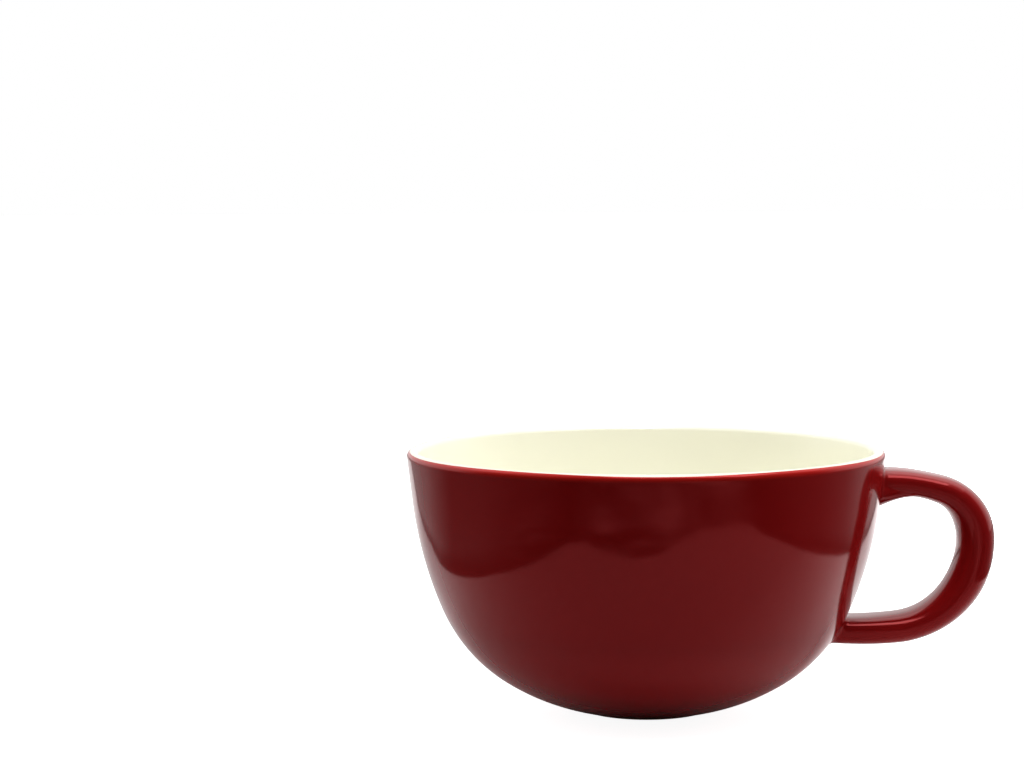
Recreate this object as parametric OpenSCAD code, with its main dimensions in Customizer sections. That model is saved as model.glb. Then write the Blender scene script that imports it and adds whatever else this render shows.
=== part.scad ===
// Wide soup mug in stoneware: a low round bowl on a foot ring, with a strap handle luted
// to its side, a cream glaze inside and over the lip and a red glaze outside.
// Origin on the bowl's axis in the plane of the table. +Z is up, +X points to the handle.

/* [Bowl] */
// outside diameter at the lip, glaze counted
mouth_d = 135; // [130:0.5:140]
// height from the table to the top of the lip
mug_h = 74.4; // [72:0.1:80]
// wall at the lip from glaze to glaze
lip_wall = 3.5; // [3.1:0.1:4.2]
// lean of the straight upper wall away from upright, in degrees
wall_angle = 6.7; // [5:0.1:8]
// length of the straight upper wall as a share of the slow curve's radius below it
straight_share = 0.11; // [0.08:0.01:0.14]
// how far the slow curve of the side turns, in degrees
slow_angle = 16.7; // [15:0.1:18]
// radius of the tight curve at the belly's lower edge
tight_r = 44.7; // [42:0.1:46.5]
// how far the tight curve turns, in degrees
tight_angle = 34.1; // [33:0.1:35]
// how far the last curve turns as it runs in to the foot, in degrees
under_angle = 21.2; // [20:0.1:22.5]
// height of the finished floor above the table
floor_h = 6; // [5.7:0.1:7]
// diameter of the floor's level middle
floor_d = 22; // [18:0.5:26]

/* [Foot ring] */
// diameter at which the bowl's glazed side ends on the foot
foot_d = 37.7; // [36:0.1:42]
// height of the lower edge of the red glaze above the table
foot_h = 0.45; // [0.4:0.05:0.8]
// width of the ring on the table
foot_w = 2.6; // [2:0.1:3.5]
// step between the bowl's clay and the ring's side
foot_step = 0.2; // [0.1:0.05:0.4]
// rounding of the ring's two lower edges
foot_round = 0.4; // [0.3:0.05:0.45]
// slope of the ring's two sides, measured as run
foot_taper = 0.4; // [0.2:0.05:0.8]
// height of the hollow inside the ring
hollow_h = 2.2; // [1.8:0.1:2.5]
// rounding where the ring's inner side turns into the hollow
hollow_round = 0.8; // [0.4:0.1:1.2]

/* [Glaze] */
// thickness of the fired glaze
glaze = 0.35; // [0.3:0.05:0.45]
// where on the round of the lip red meets cream, in degrees above level
lip_split_angle = 38; // [20:1:60]
// bare clay left round the glaze patch under the foot
bare_edge = 1.1; // [0.6:0.1:2]

/* [Handle] */
// width of the strap across the hand
strap_w = 17.8; // [16:0.1:19]
// thickness of the strap at the upper root
strap_t_root = 7.4; // [6.8:0.1:7.8]
// thickness of the strap on its top run
strap_t_top = 7.3; // [6.8:0.1:8]
// thickness of the strap at the outer bend
strap_t_bend = 10.6; // [10:0.1:11.2]
// thickness of the strap under the fingers
strap_t_palm = 8.5; // [8:0.1:9.2]
// thickness of the strap at the lower root
strap_t_low = 7.8; // [7.3:0.1:8.4]
// roundness of the strap's section: a share of 1 is an oval, 0.5 nearly a rectangle
strap_round_share = 0.65; // [0.5:0.01:0.85]
// depth under the lip's top at which the strap's middle line starts
strap_drop = 11.8; // [11.2:0.1:12.4]
// how far inside the lip's radius that line starts
strap_back = 12.8; // [11.5:0.1:14]
// upward slope of the line at its start, in degrees
strap_rise_angle = 16.8; // [15:0.1:18.5]
// radius of the long bow on top
top_r = 48; // [46:0.1:50]
// how far the top bow turns, in degrees
top_angle = 35.1; // [34:0.1:36]
// radius of the bend at the upper outer corner
bend_r = 14.6; // [13.5:0.1:16]
// how far that bend turns, in degrees
bend_angle = 68.1; // [67:0.1:70]
// radius of the round at the fingers
palm_r = 24.9; // [24:0.1:26]
// how far that round turns, in degrees
palm_angle = 88; // [86:0.1:89]
// radius of the long bow of the lower run
low_r = 106.5; // [98:0.5:115]
// how far the lower bow turns before it passes through the wall, in degrees
low_angle = 10.6; // [9.5:0.1:11.5]

/* [Joints] */
// bed of slip between the handle's cut ends and the bowl
slip_bed = 0.4; // [0.3:0.05:0.6]
// size of the fillet wiped round the top and sides of the upper root
upper_fillet = 2.2; // [1.6:0.1:3]
// how far the web under the upper root runs down the wall
web_drop = 3.2; // [2.2:0.1:4]
// how far that web runs out under the strap
web_run = 11.3; // [8:0.1:13]
// size of the fillet wiped round the lower root
lower_fillet = 2; // [1.6:0.1:3]

/* [Hidden] */
$fn = 180;

mouth_r = mouth_d / 2;
foot_top_r = foot_d / 2;
floor_r = floor_d / 2;
lip_r = lip_wall / 2;
lip_x = mouth_r - lip_r;
lip_z = mug_h - lip_r;
lip_steps = 12;
corner_steps = 5;
slow_steps = 8;
tight_steps = 14;
under_steps = 8;
// how deep the root pieces start inside the clay, and how far they dip under the skin
root_depth_share = 3;
root_depth = root_depth_share * slip_bed;
root_sink_share = 1 / 3;
root_sink = root_sink_share * glaze;

// angles of the wall from upright where its curves meet
slow_end = wall_angle + slow_angle;
tight_end = slow_end + tight_angle;
under_end = tight_end + under_angle;
flat_end = 90;
half_turn = 180;

// The tight curve and all the angles are given. The slow curve with the straight above it,
// and the last curve, take what the height and the two end diameters leave: [slow, last].
function side_radii(inward, drop, tight, end) = let (
    a = straight_share * sin(wall_angle) + cos(wall_angle) - cos(slow_end),
    b = cos(tight_end) - cos(end),
    c = straight_share * cos(wall_angle) + sin(slow_end) - sin(wall_angle),
    d = sin(end) - sin(tight_end),
    x = inward - tight * (cos(slow_end) - cos(tight_end)),
    z = drop - tight * (sin(tight_end) - sin(slow_end)),
    k = a * d - b * c)
    [(x * d - b * z) / k, (a * z - x * c) / k];

top_z = lip_z - lip_r * sin(wall_angle);
top_in_z = lip_z + lip_r * sin(wall_angle);
side_half = lip_r * cos(wall_angle);
outer_radii = side_radii(lip_x + side_half - foot_top_r, top_z - foot_h, tight_r, under_end);
inner_radii = side_radii(lip_x - side_half - floor_r, top_in_z - floor_h, tight_r - lip_wall, flat_end);

// A station on a wall line is [radius, height, angle from upright].
function down(p, run) = [p[0] - run * sin(p[2]), p[1] - run * cos(p[2]), p[2]];
function bow(p, r, turn, n) = [for (i = [1:n]) let (b = p[2] + turn * i / n)
    [p[0] - r * (cos(p[2]) - cos(b)), p[1] - r * (sin(b) - sin(p[2])), b]];
function last(v) = v[len(v) - 1];

// one side of the wall, from the lip down to where its last curve ends
function side_line(top, radii, tight, end_turn, n) = let (
    foot = down(top, straight_share * radii[0]),
    slow = bow(foot, radii[0], slow_angle, slow_steps),
    turn = bow(last(slow), tight, tight_angle, tight_steps),
    under = bow(last(turn), radii[1], end_turn, n))
    concat([top, foot], slow, turn, under);

// the outside of the red glaze, from under the lip to the foot
outer_line = side_line([lip_x + side_half, top_z, wall_angle], outer_radii, tight_r, under_angle,
    under_steps);

// the face of the cream glaze, from the lip down to the level middle of the floor
inner_line = side_line([lip_x - side_half, top_in_z, wall_angle], inner_radii, tight_r - lip_wall,
    flat_end - tight_end, under_steps + under_steps);

// a wall line moved by d towards the inside of the mug
function skin(line, d) = [for (p = line) [p[0] - d * cos(p[2]), p[1] + d * sin(p[2])]];
// the round of the lip between two angles above level
function lip(r, from, to) = [for (i = [0:lip_steps]) let (a = from + (to - from) * i / lip_steps)
    [lip_x + r * cos(a), lip_z + r * sin(a)]];
function flip(v) = [for (i = [len(v) - 1:-1:0]) v[i]];

lip_from = -wall_angle;
lip_to = half_turn - wall_angle;

// clay of the foot ring, from the bowl's underside to the middle of the hollow
under_lip = last(skin([last(outer_line)], glaze));
side_top = under_lip[1] - foot_step;
foot_r = under_lip[0] - foot_step;
foot_out = foot_r - foot_taper;
foot_in = foot_out - foot_w;
hollow_r = foot_in - foot_taper;
// a rounded corner of radius r about a middle, from one angle to another
function corner(x, z, r, from, to) = [for (i = [0:corner_steps])
    let (a = from + (to - from) * i / corner_steps) [x + r * cos(a), z + r * sin(a)]];
patch_r = hollow_r - hollow_round - bare_edge;
foot_line = concat(
    [[foot_r, side_top]],
    corner(foot_out - foot_round, foot_round, foot_round, 0, -flat_end),
    corner(foot_in + foot_round, foot_round, foot_round, -flat_end, -half_turn),
    corner(hollow_r - hollow_round, hollow_h - hollow_round, hollow_round, 0, flat_end),
    [[0, hollow_h]]);

// strap: radii and turns of its middle line, and the length of each bow
bow_radii = [top_r, bend_r, palm_r, low_r];
bow_turns = [top_angle, bend_angle, palm_angle, low_angle];
degree = PI / 180;
bow_lengths = [for (i = [0:3]) bow_radii[i] * bow_turns[i] * degree];
strap_l = bow_lengths[0] + bow_lengths[1] + bow_lengths[2] + bow_lengths[3];
// the line runs on inside the wall, where the bowl cuts the handle's end
strap_end = strap_l + strap_w;
strap_start = [mouth_r - strap_back, mug_h - strap_drop, strap_rise_angle];
around = 28;
along = 40;
long_steps = 58;

// a station on the strap's middle line is [x, z, heading above level]
function turned(p, r, t) = [p[0] + r * (sin(p[2]) - sin(p[2] - t)),
    p[1] - r * (cos(p[2]) - cos(p[2] - t)), p[2] - t];
function walk(p, s, i = 0) = i == 3 || s <= bow_lengths[i]
    ? turned(p, bow_radii[i], s / bow_radii[i] / degree)
    : walk(turned(p, bow_radii[i], bow_turns[i]), s - bow_lengths[i], i + 1);

// thickness of the strap by share of its length, eased between its named values
t_shares = [0.1, 0.22, 0.44, 0.55, 0.78, 0.95];
t_values = [strap_t_root, strap_t_top, strap_t_bend, strap_t_bend, strap_t_palm, strap_t_low];
function eased(x) = x * x * (3 - 2 * x);
function t_at(q, i = 0) = q <= t_shares[0] ? t_values[0] : i == len(t_shares) - 1 ? t_values[i]
    : q <= t_shares[i + 1] ? t_values[i] + (t_values[i + 1] - t_values[i])
        * eased((q - t_shares[i]) / (t_shares[i + 1] - t_shares[i]))
    : t_at(q, i + 1);

// a point of the strap's surface, d under the finished glaze
function power(v, e) = sign(v) * pow(abs(v), e);
function strap_point(u, s, d) = let (p = walk(strap_start, s), h = t_at(s / strap_l) / 2 - d,
    c = h * power(cos(u), strap_round_share))
    [p[0] - c * sin(p[2]), (strap_w / 2 - d) * power(sin(u), strap_round_share), p[1] + c * cos(p[2])];
// the way out of the section at that point
function strap_out(u, s) = let (p = walk(strap_start, s), e = 2 - strap_round_share,
    c = power(cos(u), e) / t_at(s / strap_l), y = power(sin(u), e) / strap_w,
    v = [-c * sin(p[2]), y, c * cos(p[2])])
    v / norm(v);

// radius and angle of the outside of the bowl at a height, d under the finished glaze
function radius_table(d) = [for (p = outer_line) [p[1] + d * sin(p[2]), p[0] - d * cos(p[2])]];
lean_table = [for (p = outer_line) [p[1], p[2]]];
radius_glaze = radius_table(0);
radius_clay = radius_table(glaze);
function wall_radius(z, d) = lookup(z, d == 0 ? radius_glaze : radius_clay);
function wall_out(q) = let (a = lookup(q[2], lean_table), r = norm([q[0], q[1]]))
    [q[0] / r * cos(a), q[1] / r * cos(a), -sin(a)];

// length along the strap at which its surface line leaves the bowl, found by halving
function outside(u, s, d) = let (q = strap_point(u, s, d)) norm([q[0], q[1]]) > wall_radius(q[2], d);
function crossing(u, d, in, out, n = 16) = n == 0 ? (in + out) / 2
    : let (m = (in + out) / 2) outside(u, m, d) ? crossing(u, d, in, m, n - 1)
    : crossing(u, d, m, out, n - 1);
root_span = strap_l / len(bow_radii);
function root_at(u, d, upper) = upper ? crossing(u, d, 0, root_span)
    : crossing(u, d, strap_end, strap_l - root_span);

// the wiped fillet round a root: from the bowl's skin, past the corner, on to the strap
function onto_wall(q, r) = let (k = r / norm([q[0], q[1]])) [q[0] * k, q[1] * k, q[2]];
// How far it runs down the wall, out along the strap, and to where it turns. Under the upper
// root these grow into a web. At the lower root the strap's line is walked backwards.
web_edge_share = 0.7;
web_bend_share = 0.6;
function under(u) = eased(min(max(-cos(u) / web_edge_share, 0), 1));
function wall_run(u, upper) = upper ? upper_fillet + (web_drop - upper_fillet) * under(u) : lower_fillet;
function strap_run(u, upper) = upper ? upper_fillet + (web_run - upper_fillet) * under(u) : -lower_fillet;
function bend_run(u, upper) = upper ? web_bend_share * web_run * under(u) : 0;
function fillet_foot(u, s, d, upper) = let (q = strap_point(u, s, d), n = wall_out(q), o = strap_out(u, s),
    v = o - (o * n) * n) q + wall_run(u, upper) * v / norm(v);
function fillet_point(u, s, d, upper, t) = let (foot = fillet_foot(u, s, d, upper),
    b = onto_wall(foot, wall_radius(foot[2], d) - root_sink),
    c = strap_point(u, s + bend_run(u, upper), d),
    a = strap_point(u, s + strap_run(u, upper), d))
    (1 - t) * (1 - t) * b + 2 * t * (1 - t) * c + t * t * a;
function buried_point(u, s, d, upper) = let (foot = fillet_foot(u, s, d, upper))
    onto_wall(foot, wall_radius(foot[2], d) - root_depth);
fillet_shares = [0, 0.15, 0.3, 0.45, 0.6, 0.75, 0.9];

angles = [for (i = [0:around - 1]) 360 * i / around];
function root_rings(d, upper) = let (at = [for (u = angles) root_at(u, d, upper)])
    concat([[for (i = [0:around - 1]) buried_point(angles[i], at[i], d, upper)]],
        [for (t = fillet_shares) [for (i = [0:around - 1]) fillet_point(angles[i], at[i], d, upper, t)]]);
function free_rings(d) = let (from = [for (u = angles) root_at(u, d, true) + strap_run(u, true)],
    to = [for (u = angles) root_at(u, d, false) + strap_run(u, false)])
    [for (k = [0:along]) [for (i = [0:around - 1])
        strap_point(angles[i], from[i] + (to[i] - from[i]) * k / along, d)]];
function middle(ring) = [for (k = [0:2]) [for (q = ring) q[k]] * [for (q = ring) 1] / len(ring)];

// a closed tube through rings of equal count, each end shut by a fan to its middle
module tube(rings, first, final) {
    n = len(rings);
    pts = concat([for (r = rings) each r], [first, final]);
    sides = [for (k = [0:n - 2]) for (i = [0:around - 1])
        let (a = k * around + i, b = k * around + (i + 1) % around)
        each [[a, b, a + around], [b, b + around, a + around]]];
    start = [for (i = [0:around - 1]) [(i + 1) % around, i, n * around]];
    stop = [for (i = [0:around - 1])
        [(n - 1) * around + i, (n - 1) * around + (i + 1) % around, n * around + 1]];
    polyhedron(points = pts, faces = concat(sides, start, stop));
}

// the strap with both roots filleted, d under the finished glaze
module rooted_strap(d) {
    rings = concat(root_rings(d, true), free_rings(d), flip(root_rings(d, false)));
    tube(rings, middle(rings[0]), middle(last(rings)));
}

// the plain strap, running on into the bowl at both ends
module plain_strap(d) {
    rings = [for (k = [0:long_steps]) [for (u = angles) strap_point(u, strap_end * k / long_steps, d)]];
    tube(rings, middle(rings[0]), middle(last(rings)));
}

// one root's fillet alone, shut off inside the strap
module root_plug(upper) {
    rings = root_rings(glaze, upper);
    // the strap leaves the wall last on its top at the upper root, and first below at the lower
    s = upper ? root_at(0, glaze, upper) + web_bend_share * web_run
        : root_at(half_turn, glaze, upper) - lower_fillet;
    p = walk(strap_start, s);
    if (upper) {
        tube(rings, middle(rings[0]), [p[0], 0, p[1]]);
    } else {
        tube(flip(rings), [p[0], 0, p[1]], middle(rings[0]));
    }
}

// the bowl's clay filled solid to its axis, its side moved out by more
module bowl_plug(more) {
    side = skin(outer_line, glaze - more);
    rotate_extrude() polygon(concat([[0, lip_z]], [[side[0][0], lip_z]], side, [[0, last(side)[1]]]));
}

module bowl() {
    color("#c9bba6")
    rotate_extrude() polygon(concat(
        flip(lip(lip_r - glaze, lip_from, lip_to)),
        skin(outer_line, glaze), foot_line,
        [[0, floor_h - glaze]], flip(skin(inner_line, -glaze))));
}

module handle() {
    color("#c9bba6")
    difference() {
        plain_strap(glaze);
        bowl_plug(slip_bed);
    }
}

// the slip round and under one cut end of the handle
module joint_slip(upper) {
    difference() {
        root_plug(upper);
        handle();
        bowl_plug(0);
    }
}

module upper_joint_slip() {
    color("#b8aa96") joint_slip(true);
}

module lower_joint_slip() {
    color("#b8aa96") joint_slip(false);
}

module inside_glaze() {
    color("#f1eddb")
    rotate_extrude() polygon(concat(
        lip(lip_r, lip_split_angle, lip_to), skin(inner_line, 0), [[0, floor_h], [0, floor_h - glaze]],
        flip(skin(inner_line, -glaze)), flip(lip(lip_r - glaze, lip_split_angle, lip_to))));
}

module outside_glaze() {
    color("#6e1118")
    difference() {
        union() {
            rotate_extrude() polygon(concat(
                flip(lip(lip_r, lip_from, lip_split_angle)), skin(outer_line, 0),
                flip(skin(outer_line, glaze)), lip(lip_r - glaze, lip_from, lip_split_angle)));
            rooted_strap(0);
        }
        rooted_strap(glaze);
        bowl_plug(0);
    }
}

module base_glaze() {
    color("#6e1118")
    rotate_extrude() polygon(concat([[0, hollow_h], [0, hollow_h - glaze]],
        corner(patch_r - glaze, hollow_h, glaze, -flat_end, 0)));
}

bowl();
handle();
upper_joint_slip();
lower_joint_slip();
inside_glaze();
outside_glaze();
base_glaze();
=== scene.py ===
import math

import bmesh
import bpy
import numpy as np
from mathutils import Matrix


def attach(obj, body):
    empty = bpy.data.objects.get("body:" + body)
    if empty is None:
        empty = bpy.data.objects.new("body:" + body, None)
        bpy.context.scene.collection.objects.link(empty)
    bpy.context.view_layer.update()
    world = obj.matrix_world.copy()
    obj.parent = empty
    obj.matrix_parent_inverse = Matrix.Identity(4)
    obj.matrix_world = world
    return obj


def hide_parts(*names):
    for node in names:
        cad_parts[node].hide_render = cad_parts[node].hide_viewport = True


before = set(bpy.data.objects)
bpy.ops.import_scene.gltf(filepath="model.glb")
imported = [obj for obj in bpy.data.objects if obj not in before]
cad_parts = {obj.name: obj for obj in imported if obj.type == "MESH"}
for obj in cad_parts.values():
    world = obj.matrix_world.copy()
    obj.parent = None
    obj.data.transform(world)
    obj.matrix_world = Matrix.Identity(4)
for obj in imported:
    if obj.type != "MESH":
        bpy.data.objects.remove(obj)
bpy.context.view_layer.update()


# Camera
# The mug is seen a little from above, from the side, with its handle on the right. The lens
# is a long one, so the mouth is a thin ellipse. The mug stands low and right of the middle.
mm = 0.001                           # the frame is in metres
camera_away = 832.7 * mm
camera_height = 163.4 * mm
camera_turn = math.radians(3.2)      # how far the handle points away from the camera
camera_yaw = -0.0452                 # in radians: the aim passes left of the mug
camera_pitch = -0.0847               # in radians: it tips down
camera_roll = -0.005                 # in radians
camera_lens = 103.9                  # in millimetres, as is the sensor's width
sensor_width = 36
farthest = 50                        # metres


def turned_matrix(x_axis, y_axis, z_axis, place):
    """The matrix of an object whose own axes point these ways."""
    turned = np.eye(4)
    for column, values in enumerate((x_axis, y_axis, z_axis, place)):
        turned[:3, column] = values
    return Matrix(turned.tolist())


def aimed_matrix(place, heading, pitch, roll):
    """The camera looks along its heading, counted from +Y towards +X, tipped by pitch.
    Roll turns the picture about its middle."""
    ahead = np.array([math.sin(heading) * math.cos(pitch), math.cos(heading) * math.cos(pitch),
                      math.sin(pitch)])
    right = np.array([math.cos(heading), -math.sin(heading), 0.0])
    down = np.cross(ahead, right)
    c, s = math.cos(roll), math.sin(roll)
    right, down = c * right - s * down, s * right + c * down
    return turned_matrix(right, -down, -ahead, place)


camera_data = bpy.data.cameras.new("camera")
camera_data.sensor_fit = "HORIZONTAL"
camera_data.sensor_width = sensor_width
camera_data.lens = camera_lens
camera_data.clip_end = farthest
camera = bpy.data.objects.new("camera", camera_data)
bpy.context.scene.collection.objects.link(camera)
camera.matrix_world = aimed_matrix(
    [-camera_away * math.sin(camera_turn), -camera_away * math.cos(camera_turn), camera_height],
    camera_yaw + camera_turn, camera_pitch, camera_roll)
bpy.context.scene.camera = camera
bpy.context.scene.view_settings.view_transform = "Standard"


# Bowl and foot ring, bare clay
# The body is cast stoneware, fired once to a buff biscuit. Only the ring that it stands on
# and a narrow band in the hollow under it stay bare; all the rest is under glaze.
clay_clouds = 14 * mm                # size of the paler and darker patches
body_grit = 0.7 * mm                 # size of the grains
grit_depth = 0.06 * mm


def linear(code):
    """A hex colour as sRGB turned to the linear values that a shader takes."""
    parts = [int(code[i:i + 2], 16) / 255 for i in (1, 3, 5)]
    return tuple(p / 12.92 if p <= 0.04045 else ((p + 0.055) / 1.055) ** 2.4
                 for p in parts) + (1.0,)


def add_node(tree, kind, inputs=None, **settings):
    """Adds a node with its settings. An input given as a socket is linked, any other is set."""
    node = tree.nodes.new(kind)
    for name, value in settings.items():
        setattr(node, name, value)
    for name, value in (inputs or {}).items():
        if isinstance(value, bpy.types.NodeSocket):
            tree.links.new(value, node.inputs[name])
        else:
            node.inputs[name].default_value = value
    return node


def new_material(name):
    """An empty node material, with its surface output and its coordinates in metres."""
    made = bpy.data.materials.new(name)
    made.use_nodes = True
    tree = made.node_tree
    tree.nodes.clear()
    end = add_node(tree, "ShaderNodeOutputMaterial")
    place = add_node(tree, "ShaderNodeTexCoord").outputs["Object"]
    return made, tree, end, place


def fired_clay(name, pale, dark, grit_size):
    """Fired stoneware, bare: matt and slightly rough, with grog and iron grains in the body."""
    made, tree, end, place = new_material(name)
    cloud = add_node(tree, "ShaderNodeTexNoise", {
        "Vector": place, "Scale": 1 / clay_clouds, "Detail": 3.0}).outputs["Fac"]
    grit = add_node(tree, "ShaderNodeTexNoise", {
        "Vector": place, "Scale": 1 / grit_size, "Detail": 4.0}).outputs["Fac"]
    body = add_node(tree, "ShaderNodeMix", {
        0: cloud, 6: linear(pale), 7: linear(dark)}, data_type="RGBA").outputs[2]
    iron = add_node(tree, "ShaderNodeMapRange", {
        "Value": grit, "From Min": 0.62, "From Max": 0.7, "To Max": 0.5}).outputs["Result"]
    grained = add_node(tree, "ShaderNodeMix", {
        0: iron, 6: body, 7: linear("#6b4a33")}, data_type="RGBA").outputs[2]
    rough = add_node(tree, "ShaderNodeBump", {
        "Height": grit, "Strength": 0.35, "Distance": grit_depth}).outputs["Normal"]
    shader = add_node(tree, "ShaderNodeBsdfPrincipled", {
        "Base Color": grained, "Roughness": 0.82, "IOR": 1.45, "Normal": rough})
    tree.links.new(shader.outputs["BSDF"], end.inputs["Surface"])
    return made


def dress(node, made):
    """Gives a CAD node its material in every slot."""
    for held in node.material_slots:
        held.material = made


biscuit = fired_clay("fired_stoneware_biscuit", "#d9c6a8", "#c2a987", body_grit)
dress(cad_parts["bowl"], biscuit)


# Joint slips
# Each root is bedded in a collar of the same clay let down to a cream, wiped to a fillet with
# a wet finger. It fires a shade darker and finer than the body.
joining_slip = fired_clay("fired_joining_slip", "#c9b592", "#b09a78", body_grit / 2)
dress(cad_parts["upper_joint_slip"], joining_slip)
dress(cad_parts["lower_joint_slip"], joining_slip)


# Red glaze outside
# One coat of glossy red glaze over the outside of the bowl and the whole handle. It is about
# a third of a millimetre thick and ends at the lip's shoulder and just above the foot ring.

# the bowl's sizes, in millimetres and degrees as in the part's source
mouth_r = 67.5                       # outside of the lip, glaze counted
mug_h = 74.4
lip_r = 1.75                         # half the lip's width
wall_lean = 6.7                      # of the straight upper wall, away from upright
straight_share = 0.11                # the straight's length over the slow curve's radius
slow_turn = 16.7
tight_r, tight_turn = 44.7, 34.1
under_turn = 21.2
foot_top = (18.85, 0.45)             # radius and height at which the red glaze ends
floor_edge = (11.0, 6.0)             # radius and height at which the floor turns level
coat = 0.35                          # thickness of a glaze
lip_x, lip_z = mouth_r - lip_r, mug_h - lip_r

# how finely the coats are drawn
around = 320                         # points on a ring
compass = np.linspace(0, 2 * np.pi, around, endpoint=False)
outer_rows = (10, 34, 40, 22)        # rows on the straight, slow, tight and last stretch
hidden_step = -6                     # a coat's hidden side runs back with every sixth row
same_point = 1e-7                    # metres
crease = 40                          # an edge sharper than this isn't smoothed


def sin_d(angle):
    """Sine of an angle in degrees."""
    return np.sin(np.radians(angle))


def cos_d(angle):
    """Cosine of an angle in degrees."""
    return np.cos(np.radians(angle))


def wall_line(start, tight, finish, end, counts):
    """A wall from the lip down: a straight, a slow curve, a tight curve and a last curve, each
    touching the next. The slow and the last radius are what the height and the two end
    diameters leave: two linear equations, one across and one down. Rows are r, z, lean."""
    lean = np.cumsum([wall_lean, slow_turn, tight_turn])
    across = np.array([straight_share * sin_d(lean[0]) + cos_d(lean[0]) - cos_d(lean[1]),
                       cos_d(lean[2]) - cos_d(end)])
    down = np.array([straight_share * cos_d(lean[0]) + sin_d(lean[1]) - sin_d(lean[0]),
                     sin_d(end) - sin_d(lean[2])])
    left = np.array([start[0] - finish[0] - tight * (cos_d(lean[1]) - cos_d(lean[2])),
                     start[1] - finish[1] - tight * (sin_d(lean[2]) - sin_d(lean[1]))])
    slow, final = np.linalg.solve(np.array([across, down]), left)
    rows = [np.array([[start[0], start[1], lean[0]]])]
    steps = np.linspace(0, straight_share * slow, counts[0] + 1)[1:]
    rows.append(np.column_stack([
        start[0] - steps * sin_d(lean[0]), start[1] - steps * cos_d(lean[0]),
        np.full(len(steps), lean[0])]))
    curves = ((slow, lean[1]), (tight, lean[2]), (final, end))
    for (radius, turn_to), count in zip(curves, counts[1:]):
        r, z, a = rows[-1][-1]
        b = np.linspace(a, turn_to, count + 1)[1:]
        rows.append(np.column_stack([r - radius * (cos_d(a) - cos_d(b)),
                                     z - radius * (sin_d(b) - sin_d(a)), b]))
    return np.vstack(rows)


def moved_in(line, depth):
    """A wall line moved by depth from the outside of the mug towards its inside."""
    return np.column_stack([line[:, 0] - depth * cos_d(line[:, 2]),
                            line[:, 1] + depth * sin_d(line[:, 2])])


def revolved(line):
    """A profile of (radius, height) rows carried round the axis, as rows of points in mm."""
    return np.stack([line[:, None, 0] * np.cos(compass), line[:, None, 0] * np.sin(compass),
                     np.repeat(line[:, None, 1], around, 1)], axis=2)


def lip_round(radius, start, stop, count):
    """Part of the round of the lip, carried round the axis. Its ends are angles above level,
    and each may change with the compass."""
    t = np.linspace(0, 1, count + 1)[:, None]
    a = start * (1 - t) + stop * t + np.zeros(around)
    r = lip_x + radius * cos_d(a)
    return np.stack([r * np.cos(compass), r * np.sin(compass), lip_z + radius * sin_d(a)], axis=2)


def grid_faces(rows, columns, ring):
    """Quads between neighbouring rows of a grid whose columns close on themselves. With ring the
    last row joins the first, so the sheet is a closed one."""
    i = np.arange(rows if ring else rows - 1)[:, None]
    j = np.arange(columns)[None, :]
    i2, j2 = (i + 1) % rows, (j + 1) % columns
    corners = (i * columns + j, i * columns + j2, i2 * columns + j2, i2 * columns + j)
    return np.stack(np.broadcast_arrays(*corners), axis=2).reshape(-1, 4)


def surface_object(name, sheets, ring=True):
    """Closed sheets of points in mm made one mesh in metres, smooth but for creases, with its
    faces outwards: a sheet whose signed volume is negative is turned over."""
    points, faces = [], []
    for sheet in sheets:
        quads = grid_faces(*sheet.shape[:2], ring)
        flat = sheet.reshape(-1, 3)
        a, b, c, d = (flat[quads[:, k]] for k in range(4))
        volume = np.einsum("ij,ij->i", a, np.cross(b, c) + np.cross(c, d)).sum()
        faces.append((quads if volume > 0 else quads[:, ::-1]) + sum(len(p) for p in points))
        points.append(flat)
    points, faces = np.vstack(points) * mm, np.vstack(faces)
    mesh = bpy.data.meshes.new(name)
    mesh.vertices.add(len(points))
    mesh.vertices.foreach_set("co", points.astype(np.float32).ravel())
    mesh.loops.add(faces.size)
    mesh.loops.foreach_set("vertex_index", faces.astype(np.int32).ravel())
    mesh.polygons.add(len(faces))
    mesh.polygons.foreach_set("loop_start", np.arange(0, faces.size, 4, dtype=np.int32))
    mesh.update(calc_edges=True)
    mesh.validate()
    work = bmesh.new()
    work.from_mesh(mesh)
    bmesh.ops.remove_doubles(work, verts=work.verts, dist=same_point)
    work.to_mesh(mesh)
    work.free()
    mesh.shade_smooth()
    mesh.set_sharp_from_angle(angle=math.radians(crease))
    made = bpy.data.objects.new(name, mesh)
    bpy.context.scene.collection.objects.link(made)
    return made


# The two glazes meet on the round of the lip at this angle above level. It wanders by a few
# degrees, as a line wiped by hand does: a wave of five, weaker at the back, and a tilt.
line_height, line_swing, line_tilt = 56, 9.5, 3
line_waves = 5
from_front = compass + np.pi / 2
weaker = 0.6 + 0.4 * np.cos(from_front)
glaze_line = (line_height - line_swing * np.cos(line_waves * from_front) * weaker
              - line_tilt * np.sin(from_front))

outer_top = (lip_x + lip_r * cos_d(wall_lean), lip_z - lip_r * sin_d(wall_lean))
outer_wall = wall_line(outer_top, tight_r, foot_top,
                       wall_lean + slow_turn + tight_turn + under_turn, outer_rows)
bowl_coat = np.vstack([
    lip_round(lip_r, glaze_line, -wall_lean, 14),
    revolved(moved_in(outer_wall, 0)[1:]),
    revolved(moved_in(outer_wall, coat)[::hidden_step]),
    lip_round(lip_r - coat, -wall_lean, glaze_line, 5)[1:]])

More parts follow.
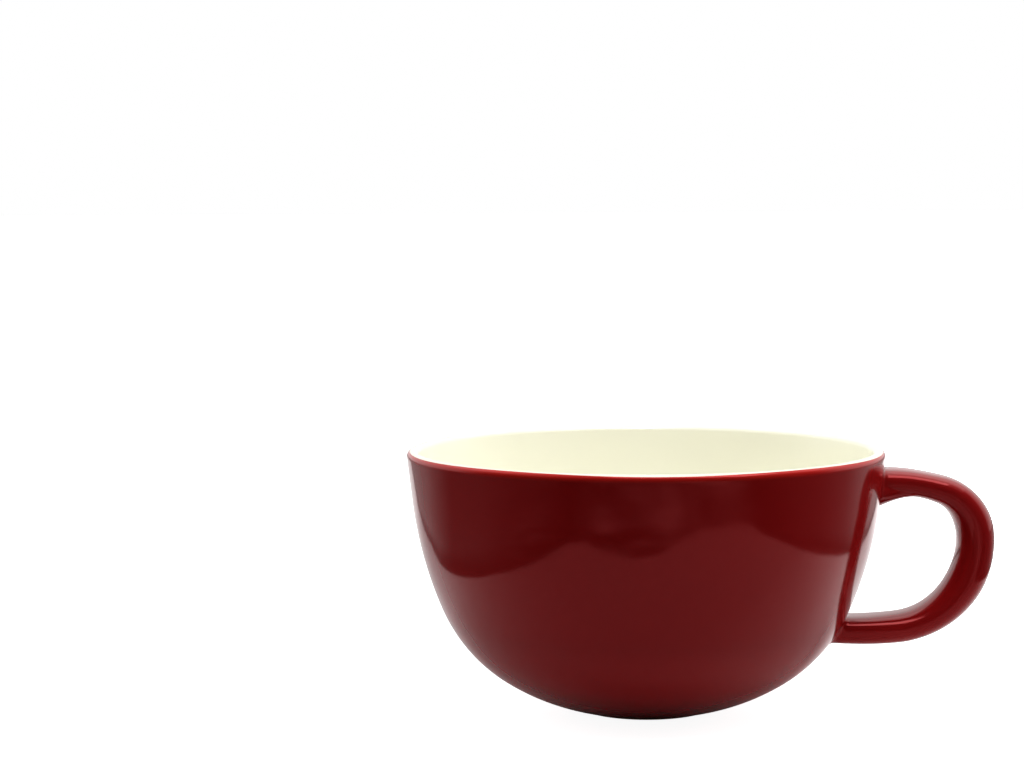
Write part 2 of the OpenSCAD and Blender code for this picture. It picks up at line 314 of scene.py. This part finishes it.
# the strap's sizes, with its thickness and roundness at shares of its length
strap_w = 17.8
strap_start = (mouth_r - 12.8, mug_h - 11.8, 16.8)       # x, z and heading above level
strap_bows = ((48.0, 35.1), (14.6, 68.1), (24.9, 88.0), (106.5, 10.6))   # radius and turn
strap_thick = ((0.1, 7.4), (0.22, 7.3), (0.44, 10.6), (0.55, 10.6), (0.78, 8.5), (0.95, 7.8))
strap_round = ((0.235, 0.65), (0.42, 0.92), (0.6, 0.9), (0.78, 0.78), (0.92, 0.65))  # 1: oval
bow_ends = np.cumsum([0] + [r * math.radians(t) for r, t in strap_bows])
strap_l = bow_ends[-1]
upper_span = (0, strap_l / 4)                            # each root lies somewhere in its span
lower_span = (strap_l + strap_w, strap_l * 3 / 4)

# the wiped fillets, and the web that runs down the wall and out under the upper root
upper_fillet, lower_fillet = 2.2, 2.0
web_drop, web_run = 3.2, 11.3
web_bend = 6.8                       # from the root to where the web's curve turns
web_spread = 0.7                     # the less, the wider the web lies under the strap
fillet_rings = 14
fillet_sunk = 0.02                   # how deep a fillet's foot lies in the bowl's skin
hidden_rings = ((2.2, 1.4), (1.6, 0.6), (1.1, 0.24), (0.6, 0.07))   # past that foot, how deep


def along_bow(x, z, heading, radius, turned):
    """The place and heading after a turn along a circle, as far as turned."""
    return (x + radius * (sin_d(heading) - sin_d(heading - turned)),
            z - radius * (cos_d(heading) - cos_d(heading - turned)), heading - turned)


def strap_line(s):
    """The strap's middle line at a length s: four bows, each a circle that touches the next.
    Gives x, z and the heading above level in degrees."""
    s = np.asarray(s, float)
    at = strap_start
    out = np.zeros(s.shape + (3,))
    for i, (radius, turn) in enumerate(strap_bows):
        here = (s >= bow_ends[i]) if i else np.ones(s.shape, bool)
        turned = np.degrees((s - bow_ends[i]) / radius)
        out[here] = np.stack(along_bow(*at, radius, turned), axis=-1)[here]
        at = along_bow(*at, radius, turn)
    return out


def along_strap(table, s):
    """A size at a length s of the strap, eased between the places that its table names."""
    shares, values = np.array(table).T
    q = np.clip(np.asarray(s) / strap_l, shares[0], shares[-1])
    i = np.clip(np.searchsorted(shares, q, side="right") - 1, 0, len(shares) - 2)
    t = (q - shares[i]) / (shares[i + 1] - shares[i])
    return values[i] + (values[i + 1] - values[i]) * t * t * (3 - 2 * t)


def signed_power(v, e):
    """A power of a value's size, with the value's sign."""
    return np.sign(v) * np.abs(v) ** e


def strap_point(u, s, depth=0.0):
    """A point of the strap's surface: an oval with full corners, whose width and thickness are
    powers of the sine and cosine of u, set square to the middle line."""
    line, e = strap_line(s), along_strap(strap_round, s)
    c = (along_strap(strap_thick, s) / 2 - depth) * signed_power(np.cos(u), e)
    b = (strap_w / 2 - depth) * signed_power(np.sin(u), e)
    return np.stack([line[..., 0] - c * sin_d(line[..., 2]), b,
                     line[..., 1] + c * cos_d(line[..., 2])], axis=-1)


def unit(v):
    """A direction made 1 long."""
    return v / np.linalg.norm(v, axis=-1, keepdims=True)


def strap_out(u, s):
    """The way straight out of the strap's side at that point."""
    line, e = strap_line(s), 2 - along_strap(strap_round, s)
    c = signed_power(np.cos(u), e) / along_strap(strap_thick, s)
    return unit(np.stack([-c * sin_d(line[..., 2]), signed_power(np.sin(u), e) / strap_w,
                          c * cos_d(line[..., 2])], axis=-1))


def wall_at(z, depth):
    """Radius at a height of the bowl's outside moved in by depth, and its lean there."""
    line = moved_in(outer_wall, depth)[::-1]
    return (np.interp(z, line[:, 1], line[:, 0]),
            np.interp(z, outer_wall[::-1, 1], outer_wall[::-1, 2]))


def on_wall(q, depth, sunk):
    """A point moved level to the wall's skin, and sunk below it."""
    r = np.linalg.norm(q[..., :2], axis=-1)
    k = (wall_at(q[..., 2], depth)[0] - sunk) / r
    return np.stack([q[..., 0] * k, q[..., 1] * k, q[..., 2]], axis=-1)


def root_length(u, depth, inside, outside, halvings=30):
    """Length along the strap at which each line of its surface leaves the bowl, by halving."""
    low, high = np.full(u.shape, float(inside)), np.full(u.shape, float(outside))
    for _ in range(halvings):
        half = (low + high) / 2
        q = strap_point(u, half, depth)
        out = np.linalg.norm(q[..., :2], axis=-1) > wall_at(q[..., 2], depth)[0]
        high, low = np.where(out, half, high), np.where(out, low, half)
    return (low + high) / 2


def root_rings(u, depth, upper):
    """The wiped fillet round a root, from inside the wall out to the strap: a curve of second
    degree that starts on the bowl's skin, turns at a point on the strap's line and ends on the
    strap. Under the upper root its runs grow into a web, by a share that is 1 below, 0 above."""
    share = np.clip(-np.cos(u) / web_spread, 0, 1)
    share = share * share * (3 - 2 * share) * upper
    s = root_length(u, depth, *(upper_span if upper else lower_span))
    fillet = upper_fillet if upper else lower_fillet
    down_wall = (fillet + (web_drop - fillet) * share)[:, None]
    along = fillet + (web_run - fillet) * share if upper else np.full(u.shape, -fillet)
    corner = strap_point(u, s, depth)
    r = np.linalg.norm(corner[:, :2], axis=1)
    lean = wall_at(corner[:, 2], depth)[1]
    normal = np.stack([corner[:, 0] / r * cos_d(lean), corner[:, 1] / r * cos_d(lean),
                       -sin_d(lean)], axis=1)
    out = strap_out(u, s)
    away = unit(out - np.sum(out * normal, axis=1, keepdims=True) * normal)
    rings = []
    for further, sunk in hidden_rings:
        hidden = corner + (down_wall + further) * away
        hidden[:, 2] = np.minimum(hidden[:, 2], lip_z - sunk)
        rings.append(on_wall(hidden, depth, sunk))
    foot = on_wall(corner + down_wall * away, depth, fillet_sunk)
    turn = strap_point(u, s + web_bend * share, depth)
    top = strap_point(u, s + along, depth)
    for t in np.linspace(0, 1, fillet_rings + 1)[:-1]:
        rings.append((1 - t) ** 2 * foot + 2 * t * (1 - t) * turn + t * t * top)
    return rings, s + along


def section_angles(count, half_thick=4.2, roundness=0.7, fine_steps=4001):
    """Angles round the section at which the points lie evenly along its edge, on a section of
    middling thickness and roundness."""
    fine = np.linspace(0, 2 * np.pi, fine_steps)
    edge = np.stack([half_thick * signed_power(np.cos(fine), roundness),
                     strap_w / 2 * signed_power(np.sin(fine), roundness)])
    walked = np.concatenate([[0], np.cumsum(np.linalg.norm(np.diff(edge), axis=0))])
    return np.interp(np.linspace(0, walked[-1], count, endpoint=False), walked, fine)


section = section_angles(72)


def strap_skin(depth, along):
    """The strap's skin from root to root, both fillets with it. Depth is how far it lies under
    the glaze's face, and along is the number of its steps between the fillets."""
    upper, start = root_rings(section, depth, True)
    lower, stop = root_rings(section, depth, False)
    free = [strap_point(section, start + (stop - start) * t, depth)
            for t in np.linspace(0, 1, along + 1)]
    return np.array(upper + free + lower[::-1])


strap_coat = np.vstack([strap_skin(0.0, 150), strap_skin(coat, 30)[::-1]])
red_coat = surface_object("outside_glaze_coat", [bowl_coat, strap_coat])

# the red glaze's patterns; the heights over which painted light brightens it low down, fading
# upwards; and those over which it breaks thin over the lip, where a painted highlight brightens
# it further
red_clouds = 38 * mm
pinhole_gap = 7 * mm
wave_size, wave_depth = 15 * mm, 0.09 * mm
wave_stretch = (1.0, 1.0, 1.9)       # makes the waves wider than they are high
peel_size, peel_depth = 1.6 * mm, 0.012 * mm
painted_foot_light_heights = (2 * mm, 26 * mm)
lip_break_and_highlight_heights = ((mug_h - 2.2) * mm, (mug_h - 0.5) * mm)


def red_glaze():
    """Glossy red stoneware glaze, sprayed and melted level: a deep, even red, with painted light
    that makes it brighter low down before the foot, and brighter over the lip's shoulder, where
    it breaks thin and a painted highlight is added. Its skin has slow waves, a faint orange-peel
    and a few pinholes. IOR 1.5; its mirror is tinted as in the photograph."""
    made, tree, end, place = new_material("red_gloss_glaze")
    cloud = add_node(tree, "ShaderNodeTexNoise", {
        "Vector": place, "Scale": 1 / red_clouds, "Detail": 2.0}).outputs["Fac"]
    deep = add_node(tree, "ShaderNodeMix", {
        0: cloud, 6: linear("#871112"), 7: linear("#8c1314")}, data_type="RGBA").outputs[2]
    height = add_node(tree, "ShaderNodeSeparateXYZ", {"Vector": place}).outputs["Z"]
    # painted light: towards the foot the red is mixed with a brighter red, most below 2 mm and
    # gone by 26 mm
    painted_foot_light = add_node(tree, "ShaderNodeMapRange", {
        "Value": height, "From Min": painted_foot_light_heights[0], "From Max": painted_foot_light_heights[1],
        "To Min": 0.75, "To Max": 0.0}).outputs["Result"]
    lower = add_node(tree, "ShaderNodeMix", {
        0: painted_foot_light, 6: deep, 7: linear("#c01b1c")}, data_type="RGBA").outputs[2]
    # the glaze breaks thin over the lip's shoulder, and a painted highlight brightens it further
    lip_break_and_highlight = add_node(tree, "ShaderNodeMapRange", {
        "Value": height, "From Min": lip_break_and_highlight_heights[0], "From Max": lip_break_and_highlight_heights[1],
        "To Max": 0.58}).outputs["Result"]
    lip_broken_and_highlit = add_node(tree, "ShaderNodeMix", {
        0: lip_break_and_highlight, 6: lower, 7: linear("#d82418")}, data_type="RGBA").outputs[2]

    cells = add_node(tree, "ShaderNodeTexVoronoi", {
        "Vector": place, "Scale": 1 / pinhole_gap}, feature="F1").outputs
    speck = add_node(tree, "ShaderNodeMapRange", {
        "Value": cells["Distance"], "From Min": 0.02, "From Max": 0.034,
        "To Min": 1.0, "To Max": 0.0}).outputs["Result"]
    rare = add_node(tree, "ShaderNodeMath", {
        0: cells["Color"], 1: 0.86}, operation="GREATER_THAN").outputs["Value"]
    pinholes = add_node(tree, "ShaderNodeMath", {
        0: speck, 1: rare}, operation="MULTIPLY").outputs["Value"]
    colour = add_node(tree, "ShaderNodeMix", {
        0: pinholes, 6: lip_broken_and_highlit, 7: linear("#c08a80")}, data_type="RGBA").outputs[2]

    flat = add_node(tree, "ShaderNodeVectorMath", {
        0: place, 1: wave_stretch}, operation="MULTIPLY").outputs["Vector"]
    waves = add_node(tree, "ShaderNodeTexNoise", {
        "Vector": flat, "Scale": 1 / wave_size, "Detail": 1.0}).outputs["Fac"]
    uneven = add_node(tree, "ShaderNodeBump", {
        "Height": waves, "Strength": 1.0, "Distance": wave_depth}).outputs["Normal"]
    peel = add_node(tree, "ShaderNodeTexNoise", {
        "Vector": place, "Scale": 1 / peel_size, "Detail": 2.0}).outputs["Fac"]
    relief = add_node(tree, "ShaderNodeBump", {
        "Height": peel, "Strength": 0.25, "Distance": peel_depth,
        "Normal": uneven}).outputs["Normal"]
    haze = add_node(tree, "ShaderNodeMapRange", {
        "Value": cloud, "From Min": 0.3, "From Max": 0.7,
        "To Min": 0.085, "To Max": 0.12}).outputs["Result"]
    shader = add_node(tree, "ShaderNodeBsdfPrincipled", {
        "Base Color": colour, "Roughness": haze, "IOR": 1.5, "Specular IOR Level": 0.9,
        "Specular Tint": (1.0, 0.16, 0.165, 1.0), "Normal": relief})
    tree.links.new(shader.outputs["BSDF"], end.inputs["Surface"])
    return made


red = red_glaze()
red_coat.data.materials.append(red)
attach(red_coat, "root")
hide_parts("outside_glaze")


# Handle, clay under the glaze
# A cast strap of the same clay, trimmed at both ends to the bowl and stuck on while leather
# hard. It is all under glaze, so its clay shows nowhere. Its bend is rounder than its ends.
core_gap = 0.03                      # between the clay and its coat
core_rings = 120
core_start = root_length(section, coat, *upper_span)
core_stop = root_length(section, coat, *lower_span)
core = np.array([strap_point(section, core_start + (core_stop - core_start) * t, coat + core_gap)
                 for t in np.linspace(0, 1, core_rings)])
ends = [np.broadcast_to(core[k].mean(axis=0), core[k].shape)[None] for k in (0, -1)]
strap_core = surface_object("handle_clay", [np.vstack([ends[0], core, ends[1]])], ring=False)
strap_core.data.materials.append(
    fired_clay("fired_stoneware_strap", "#d6c3a5", "#c0a685", body_grit))
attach(strap_core, "root")
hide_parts("handle")


# Red glaze under the base
# A round patch of the same glaze lies in the hollow of the foot. It stops short of the ring,
# which is wiped bare so that the mug doesn't stick to the shelf of the kiln.
dress(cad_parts["base_glaze"], red)


# Cream glaze inside
# The whole inside is poured with a cream glaze, glossy and opaque. It runs over the lip, where
# it ends in a clean pale line against the red.
inner_rows = (8, 26, 30, 40)
inner_end = 90.0                     # the floor is level, so its lean from upright is this
axis_hole = 0.02                     # the coat is drawn as a ring round a hair-fine hole
inner_top = (lip_x - lip_r * cos_d(wall_lean), lip_z + lip_r * sin_d(wall_lean))
inner_wall = wall_line(inner_top, tight_r - 2 * lip_r, floor_edge, inner_end, inner_rows)
centre = np.array([[axis_hole, floor_edge[1]]])
cream_rows = np.vstack([
    lip_round(lip_r, glaze_line, 180 - wall_lean, 24),
    revolved(np.vstack([moved_in(inner_wall, 0)[1:], centre, centre - [0, coat],
                        moved_in(inner_wall, -coat)[::hidden_step]])),
    lip_round(lip_r - coat, 180 - wall_lean, glaze_line, 8)[1:]])
cream_coat = surface_object("inside_glaze_coat", [cream_rows])

cream_clouds = 45 * mm
cream_peel, cream_peel_depth = 2.2 * mm, 0.012 * mm


def cream_glaze():
    """Glossy cream stoneware glaze: warm white, opaque, levelled by the fire, a little yellower
    where it pools. Glass, IOR 1.5."""
    made, tree, end, place = new_material("cream_gloss_glaze")
    cloud = add_node(tree, "ShaderNodeTexNoise", {
        "Vector": place, "Scale": 1 / cream_clouds, "Detail": 2.0}).outputs["Fac"]
    body = add_node(tree, "ShaderNodeMix", {
        0: cloud, 6: linear("#f5f4e3"), 7: linear("#f3f1df")}, data_type="RGBA").outputs[2]
    peel = add_node(tree, "ShaderNodeTexNoise", {
        "Vector": place, "Scale": 1 / cream_peel, "Detail": 2.0}).outputs["Fac"]
    relief = add_node(tree, "ShaderNodeBump", {
        "Height": peel, "Strength": 0.2, "Distance": cream_peel_depth}).outputs["Normal"]
    shader = add_node(tree, "ShaderNodeBsdfPrincipled", {
        "Base Color": body, "Roughness": 0.12, "IOR": 1.5, "Normal": relief})
    tree.links.new(shader.outputs["BSDF"], end.inputs["Surface"])
    return made


cream_coat.data.materials.append(cream_glaze())
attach(cream_coat, "root")
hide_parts("inside_glaze")


# Sheet, table and light
# The mug stands on a white sheet before a white wall, among soft boxes. Out of the camera's sight
# the sheet ends on a darker tabletop: the lower half of the bowl mirrors the sheet, the upper
# half the table. The sheet's tone and the table's greys are painted light and shade.

# how the paper's tone runs, in metres from the mug's axis: painted light and shade, paler towards
# the back and beside the mug, and darker in front
paper_own = 0.92                                         # the white that only the camera sees
painted_light_back_span, painted_light_back_tones = (0.12, 0.4), (0.48, 0.9)              # from the mug back to the wall
beside, painted_light_side_gains = (-0.05, 0.08), (1.3, 1.85)        # from the bowl's side to the handle's
front, painted_shade_front_gain = (-0.08, 0.03), 0.92                  # from before the mug to beside it


def stage_object(name, corners, faces, made):
    """A flat thing of the studio, which isn't part of the mug."""
    mesh = bpy.data.meshes.new(name)
    mesh.from_pydata([(float(x), float(y), 0.0) for x, y in corners], [], faces)
    mesh.materials.append(made)
    placed = bpy.data.objects.new(name, mesh)
    bpy.context.scene.collection.objects.link(placed)
    return placed


def seen(tree):
    """1 for what the camera sees, straight or through glass, and 0 for all other light."""
    path = add_node(tree, "ShaderNodeLightPath").outputs
    return add_node(tree, "ShaderNodeMath", {
        0: path["Is Camera Ray"], 1: path["Is Transmission Ray"]},
        operation="MAXIMUM").outputs["Value"]


def paper(tree, place):
    """White paper, which takes the mug's shadow. Its tone is painted light and shade: paler
    beside the mug, most so on the handle's side, and towards the back, and darker in front. Only
    the camera sees the share that is its own."""
    axes = add_node(tree, "ShaderNodeSeparateXYZ", {"Vector": place}).outputs
    # painted light and shade: the paper's tone is set by place, paler towards the back and beside
    # the mug, darker in front
    tone = add_node(tree, "ShaderNodeMapRange", {
        "Value": axes["Y"], "From Min": painted_light_back_span[0], "From Max": painted_light_back_span[1], "To Min": painted_light_back_tones[0],
        "To Max": painted_light_back_tones[1]}, interpolation_type="SMOOTHSTEP").outputs["Result"]
    side = add_node(tree, "ShaderNodeMapRange", {
        "Value": axes["X"], "From Min": beside[0], "From Max": beside[1],
        "To Min": painted_light_side_gains[0], "To Max": painted_light_side_gains[1]}).outputs["Result"]
    gain = add_node(tree, "ShaderNodeMapRange", {
        "Value": axes["Y"], "From Min": front[0], "From Max": front[1],
        "To Min": painted_shade_front_gain, "To Max": side}).outputs["Result"]
    both = add_node(tree, "ShaderNodeMath", {
        0: tone, 1: gain}, operation="MULTIPLY").outputs["Value"]
    lit = add_node(tree, "ShaderNodeBsdfDiffuse", {"Color": both})
    own = add_node(tree, "ShaderNodeMath", {
        0: seen(tree), 1: paper_own}, operation="MULTIPLY").outputs["Value"]
    glow = add_node(tree, "ShaderNodeEmission", {"Color": (1, 1, 1, 1), "Strength": own})
    return add_node(tree, "ShaderNodeAddShader", {
        0: lit.outputs["BSDF"], 1: glow.outputs["Emission"]}).outputs["Shader"]


def white_sheet():
    """The sheet of paper under and behind the mug."""
    made, tree, end, place = new_material("white_paper_sheet")
    tree.links.new(paper(tree, place), end.inputs["Surface"])
    return made


# greys of the table by compass angle, counted from +Y towards +X: painted light and shade, set as
# the glaze mirrors them
painted_table_tones = (
    (-180, 0.19), (-160, 0.19), (-145, 0.0), (-125, 0.12), (-100, 0.16), (-78, 0.09),
    (-55, 0.36), (55, 0.4), (67, 0.3), (80, 0.15), (100, 0.07), (118, 0.05), (136, 0.0),
    (147, 0.24), (160, 0.3), (180, 0.19))
patch_rings = 24 * mm                # from one ring of darker patches to the next
patch_arcs = 1.8                     # darker patches along a ring for each radian
patch_fade = (0.6, 1.3)              # in radians from the front, where the patches fade out


def tabletop():
    """A matt tabletop round the sheet. Its greys are painted light and shade, lighter and darker
    by turns round the mug, with darker patches in front that run round the mug, for the glaze to
    mirror. Close to the sheet lies a painted shadow of its edge, which the mesh's "clear"
    attribute fades out. The camera sees the sheet's paper instead."""
    made, tree, end, place = new_material("tabletop_painted_light_and_shade")
    axes = add_node(tree, "ShaderNodeSeparateXYZ", {"Vector": place}).outputs
    turn = add_node(tree, "ShaderNodeMath", {
        0: axes["X"], 1: axes["Y"]}, operation="ARCTAN2").outputs["Value"]
    share = add_node(tree, "ShaderNodeMapRange", {
        "Value": turn, "From Min": -math.pi, "From Max": math.pi}).outputs["Result"]
    # painted light and shade: the table's grey is set by compass angle round the mug
    tones = add_node(tree, "ShaderNodeValToRGB", {"Fac": share})
    ramp = tones.color_ramp
    for at, tone in painted_table_tones[1:-1]:
        ramp.elements.new((at + 180) / 360)
    for held, (at, tone) in zip(ramp.elements, painted_table_tones):
        held.position, held.color = (at + 180) / 360, (tone, tone, tone, 1)
    # painted shadow of the sheet's edge: dark close to the sheet, faded out by the clear
    # attribute
    clear = add_node(tree, "ShaderNodeAttribute", attribute_name="clear").outputs["Fac"]
    tone = add_node(tree, "ShaderNodeMix", {
        0: clear, 6: linear("#1c1a19"), 7: tones.outputs["Color"]}, data_type="RGBA").outputs[2]

    forward = add_node(tree, "ShaderNodeMath", {
        0: axes["Y"], 1: -1.0}, operation="MULTIPLY").outputs["Value"]
    swing = add_node(tree, "ShaderNodeMath", {
        0: axes["X"], 1: forward}, operation="ARCTAN2").outputs["Value"]
    reach = add_node(tree, "ShaderNodeVectorMath", {
        0: place}, operation="LENGTH").outputs["Value"]
    rings = add_node(tree, "ShaderNodeMath", {
        0: reach, 1: 1 / patch_rings}, operation="MULTIPLY").outputs["Value"]
    arcs = add_node(tree, "ShaderNodeMath", {
        0: swing, 1: patch_arcs}, operation="MULTIPLY").outputs["Value"]
    grain = add_node(tree, "ShaderNodeCombineXYZ", {"X": arcs, "Y": rings}).outputs["Vector"]
    patch_noise = add_node(tree, "ShaderNodeTexNoise", {
        "Vector": grain, "Scale": 1.0, "Detail": 5.0, "Roughness": 0.72}).outputs["Fac"]
    patch = add_node(tree, "ShaderNodeMapRange", {
        "Value": patch_noise, "From Min": 0.465, "From Max": 0.62, "To Max": 3.2}).outputs["Result"]
    aside = add_node(tree, "ShaderNodeMath", {0: swing}, operation="ABSOLUTE").outputs["Value"]
    fade = add_node(tree, "ShaderNodeMapRange", {
        "Value": aside, "From Min": patch_fade[0], "From Max": patch_fade[1]}).outputs["Result"]
    even = add_node(tree, "ShaderNodeMix", {0: fade, 2: patch, 3: 1.0}).outputs[0]
    mottled = add_node(tree, "ShaderNodeVectorMath", {
        0: tone, "Scale": even}, operation="SCALE").outputs["Vector"]
    wood = add_node(tree, "ShaderNodeBsdfDiffuse", {"Color": mottled})
    both = add_node(tree, "ShaderNodeMixShader", {
        0: seen(tree), 1: wood.outputs["BSDF"], 2: paper(tree, place)})
    tree.links.new(both.outputs["Shader"], end.inputs["Surface"])
    return made


# the sheet's edge in metres, from the far right round by the left and the front
sheet_edge = np.array([
    (0.5, 1.4), (-0.5, 1.4), (-0.19, 0.23), (-0.168, 0.128), (-0.145, 0.073), (-0.136, 0.027),
    (-0.123, -0.058), (-0.113, -0.103), (-0.103, -0.149), (-0.087, -0.164), (-0.049, -0.157),
    (-0.02, -0.153), (0.008, -0.165), (0.045, -0.196), (0.075, -0.204), (0.13, -0.188),
    (0.155, -0.169), (0.155, -0.111), (0.158, -0.065), (0.169, 0.004), (0.176, 0.077),
    (0.19, 0.16)])
# rings of the table: how far beyond the sheet's edge, and how clear of the painted shadow of that
# edge
table_rings = ((0.0, 0.2), (0.015, 0.3), (0.045, 1.0), (4.0, 1.0))   # beyond the edge, and clear
n = len(sheet_edge)
stage_object("sheet", sheet_edge, [tuple(range(n))], white_sheet())
strip = np.vstack([sheet_edge + away * unit(sheet_edge) for away, _ in table_rings])
table = stage_object("tabletop", strip, [
    (k * n + i, k * n + n + i, k * n + n + (i + 1) % n, k * n + (i + 1) % n)
    for k in range(len(table_rings) - 1) for i in range(n)], tabletop())
table.data.attributes.new("clear", "FLOAT", "POINT").data.foreach_set(
    "value", np.repeat([clear for _, clear in table_rings], n))


def studio_air():
    """The air round the table: bright behind the mug, dark behind the camera, and white in
    whatever the camera itself sees of it."""
    world = bpy.data.worlds.new("studio")
    bpy.context.scene.world = world
    world.use_nodes = True
    tree = world.node_tree
    tree.nodes.clear()
    end = add_node(tree, "ShaderNodeOutputWorld")
    way = add_node(tree, "ShaderNodeTexCoord").outputs["Generated"]
    axes = add_node(tree, "ShaderNodeSeparateXYZ", {"Vector": way}).outputs
    wall = add_node(tree, "ShaderNodeMapRange", {
        "Value": axes["Y"], "From Min": -0.1, "From Max": 0.35, "To Min": 0.04,
        "To Max": 0.95}, interpolation_type="SMOOTHSTEP").outputs["Result"]
    level = add_node(tree, "ShaderNodeMath", {
        0: wall, 1: seen(tree)}, operation="MAXIMUM").outputs["Value"]
    air = add_node(tree, "ShaderNodeBackground", {"Color": (1, 1, 1, 1), "Strength": level})
    tree.links.new(air.outputs["Background"], end.inputs["Surface"])


studio_air()


def soft_lamp(name, place, aim, size, power, spread=180, mirrored=True):
    """A soft box that faces a point. A grid on it narrows its light to a spread in degrees. One
    that isn't mirrored is flagged off from the glaze, so it only fills."""
    data = bpy.data.lights.new(name, "AREA")
    data.shape = "RECTANGLE"
    data.size, data.size_y = size
    data.energy = power
    data.spread = math.radians(spread)
    lamp = bpy.data.objects.new(name, data)
    bpy.context.scene.collection.objects.link(lamp)
    ahead = unit(np.array(aim) - np.array(place))
    right = unit(np.cross(ahead, [0, 0.01, 1]))
    lamp.matrix_world = turned_matrix(right, np.cross(right, ahead), -ahead, place)
    lamp.visible_glossy = mirrored


# each box's place, the point that it faces and its size, in metres, and its power in watts
side_aim = (0, 0, 0.04)
side_size = (1.7, 1.0)
soft_lamp("key_box", (0.12, -0.13, 0.52), (0.12, -0.131, 0), (0.45, 0.3), 1.62)
soft_lamp("top_panel", (0.0, 0.2, 0.9), (0, 0.19, 0), (2.0, 1.4), 4.8)
soft_lamp("left_box", (-1.2, 0.3, 0.6), side_aim, side_size, 5.6, mirrored=False)
soft_lamp("right_box", (1.2, 0.3, 0.6), side_aim, side_size, 7.6, mirrored=False)
soft_lamp("mouth_box", (0.0, -0.27, 0.62), (0, 0.055, 0.062), (0.08, 0.04), 0.007, spread=14)
